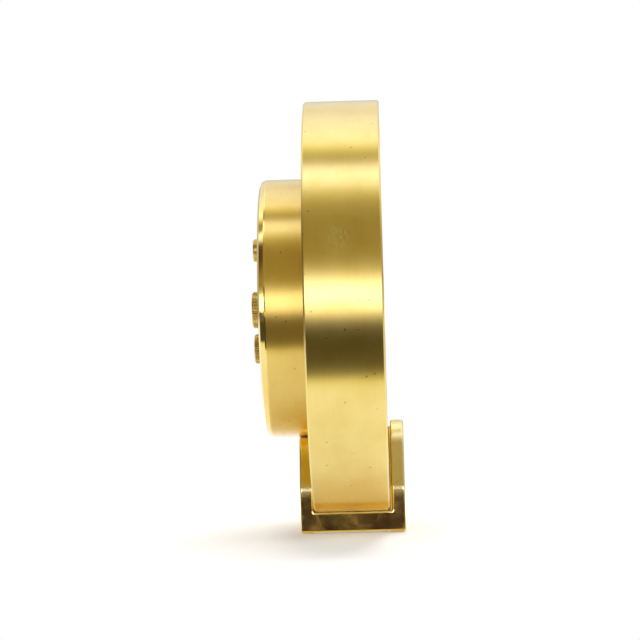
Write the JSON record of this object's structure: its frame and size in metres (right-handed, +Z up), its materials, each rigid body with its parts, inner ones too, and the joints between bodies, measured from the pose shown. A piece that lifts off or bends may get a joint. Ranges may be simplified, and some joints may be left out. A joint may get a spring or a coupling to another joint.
{
  "type": "desk clock",
  "caption": "Round drum desk clock with alarm: brushed brass drum, smaller rear housing with set knobs, glazed dial and a polished U-shaped foot.",
  "frame": {"origin": "centre of the foot pad on the table, under the drum and midway through its depth", "axes": "+Z up, the dial faces -Y, the rear housing and its knobs face +Y, +X to the right of someone who reads the dial"},
  "size_m": [0.09, 0.0322, 0.0934],
  "materials": {
    "satin_brass": "satin, brushed round the drum",
    "face_brass": "satin, flat lapped face",
    "polished_brass": "mirror polished",
    "knob_bronze": "satin bronze-brown",
    "glass": "clear flat mineral glass",
    "gasket_rubber": "matt black",
    "dial_paint": "matt ivory dial paint",
    "marker_brass": "polished batons",
    "hand_black": "semi-matt black hands",
    "hand_alarm": "gilt alarm hand",
    "plate_brass": "plain rolled brass plate",
    "wheel_brass": "cut brass wheels",
    "steel": "plain steel",
    "screw_steel": "nickel-plated screws",
    "magnet": "sintered magnet, dark grey",
    "winding": "enamelled copper wire, paper-wrapped",
    "board": "green glass-fibre laminate",
    "black_plastic": "black moulded plastic",
    "white_plastic": "white moulded plastic",
    "nickel": "nickel-plated",
    "felt": "green felt"
  },
  "bodies": {
    "case": {"drum_ring": "satin_brass", "rear_housing": "satin_brass", "front_plate": "face_brass", "back_plate": "face_brass", "back_cover": "face_brass", "bezel_ring": "polished_brass", "dial_surround": "polished_brass", "foot": "polished_brass", "glass": "glass", "glass_gasket": "gasket_rubber", "dial": "dial_paint", "hour_markers": "marker_brass", "case_posts": "wheel_brass", "foot_block": "wheel_brass", "pillars": "wheel_brass", "main_plate": "plate_brass", "movement_plate": "plate_brass", "case_screws": "screw_steel", "housing_screws": "screw_steel", "movement_screws": "screw_steel", "plate_screws": "screw_steel", "foot_screws": "screw_steel", "stator": "steel", "coil_core": "steel", "coil": "winding", "circuit_board": "board", "clock_chip": "black_plastic", "quartz_crystal": "nickel", "buzzer": "black_plastic", "alarm_switch": "black_plastic", "battery_cell": "nickel", "battery_holder": "white_plastic", "positive_contact": "nickel", "negative_contact": "nickel", "foot_pad": "felt"},
    "minute_hand_and_pipe": {"minute_pipe": "wheel_brass", "minute_hand": "hand_black", "clutch_spring": "steel"},
    "hour_hand_and_wheel": {"hour_wheel": "wheel_brass", "hour_hand": "hand_black"},
    "motion_work": {"minute_wheel": "wheel_brass", "setting_wheel": "wheel_brass"},
    "time_setter": {"time_set_arbor": "steel", "time_set_knob": "knob_bronze"},
    "seconds_hand_and_wheel": {"seconds_wheel": "wheel_brass", "seconds_hand": "hand_black"},
    "third": {"third_wheel": "wheel_brass"},
    "centre": {"centre_wheel": "wheel_brass"},
    "intermediate": {"intermediate_wheel": "wheel_brass"},
    "motor_rotor": {"rotor": "magnet"},
    "alarm_hand_and_wheel": {"alarm_wheel": "wheel_brass", "alarm_hand": "hand_alarm"},
    "alarm_setter": {"alarm_set_arbor": "steel", "alarm_set_knob": "knob_bronze"},
    "alarm_push_button": {"alarm_button": "knob_bronze"},
    "battery_cover": {"battery_cap": "face_brass"}
  },
  "joints": [
    {"name": "minute_hand_turn", "type": "hinge", "parent": "case", "child": "minute_hand_and_pipe", "pos_m": [0, 0, 0.04835], "axis": [0, 1, 0], "continuous": true},
    {"name": "hour_hand_turn", "type": "hinge", "parent": "case", "child": "hour_hand_and_wheel", "pos_m": [0, 0, 0.04835], "axis": [0, 1, 0], "continuous": true},
    {"name": "motion_work_turn", "type": "hinge", "parent": "case", "child": "motion_work", "pos_m": [-0.009, 0, 0.04835], "axis": [0, 1, 0], "continuous": true},
    {"name": "time_set_knob_turn", "type": "hinge", "parent": "case", "child": "time_setter", "pos_m": [0, 0, 0.04835], "axis": [0, 1, 0], "continuous": true},
    {"name": "seconds_hand_turn", "type": "hinge", "parent": "case", "child": "seconds_hand_and_wheel", "pos_m": [0, 0, 0.04835], "axis": [0, 1, 0], "continuous": true},
    {"name": "third_wheel_turn", "type": "hinge", "parent": "case", "child": "third", "pos_m": [0.0042, 0, 0.05562], "axis": [0, 1, 0], "continuous": true},
    {"name": "centre_wheel_turn", "type": "hinge", "parent": "case", "child": "centre", "pos_m": [0, 0, 0.04835], "axis": [0, 1, 0], "continuous": true},
    {"name": "intermediate_wheel_turn", "type": "hinge", "parent": "case", "child": "intermediate", "pos_m": [0.00761, 0, 0.0448], "axis": [0, 1, 0], "continuous": true},
    {"name": "rotor_turn", "type": "hinge", "parent": "case", "child": "motor_rotor", "pos_m": [0.01234, 0, 0.04397], "axis": [0, 1, 0], "continuous": true},
    {"name": "alarm_hand_turn", "type": "hinge", "parent": "case", "child": "alarm_hand_and_wheel", "pos_m": [0, 0, 0.04835], "axis": [0, 1, 0], "continuous": true},
    {"name": "alarm_set_knob_turn", "type": "hinge", "parent": "case", "child": "alarm_setter", "pos_m": [0, 0, 0.03985], "axis": [0, 1, 0], "continuous": true},
    {"name": "alarm_button_pull", "type": "slide", "parent": "case", "child": "alarm_push_button", "axis": [0, 1, 0], "range_m": [0, 0.0012]},
    {"name": "battery_cap_turn", "type": "hinge", "parent": "case", "child": "battery_cover", "pos_m": [0.01552, 0, 0.05786], "axis": [0, 1, 0], "range_deg": [0, 60]}
  ],
  "couplings": [
    {"joint": "hour_hand_turn", "follows": "minute_hand_turn", "ratio": 0.083333},
    {"joint": "motion_work_turn", "follows": "minute_hand_turn", "ratio": -0.33333},
    {"joint": "time_set_knob_turn", "follows": "minute_hand_turn", "ratio": 1},
    {"joint": "third_wheel_turn", "follows": "seconds_hand_turn", "ratio": -0.125},
    {"joint": "centre_wheel_turn", "follows": "seconds_hand_turn", "ratio": 0.016667},
    {"joint": "intermediate_wheel_turn", "follows": "seconds_hand_turn", "ratio": -6},
    {"joint": "rotor_turn", "follows": "seconds_hand_turn", "ratio": 30},
    {"joint": "alarm_set_knob_turn", "follows": "alarm_hand_turn", "ratio": -3}
  ]
}
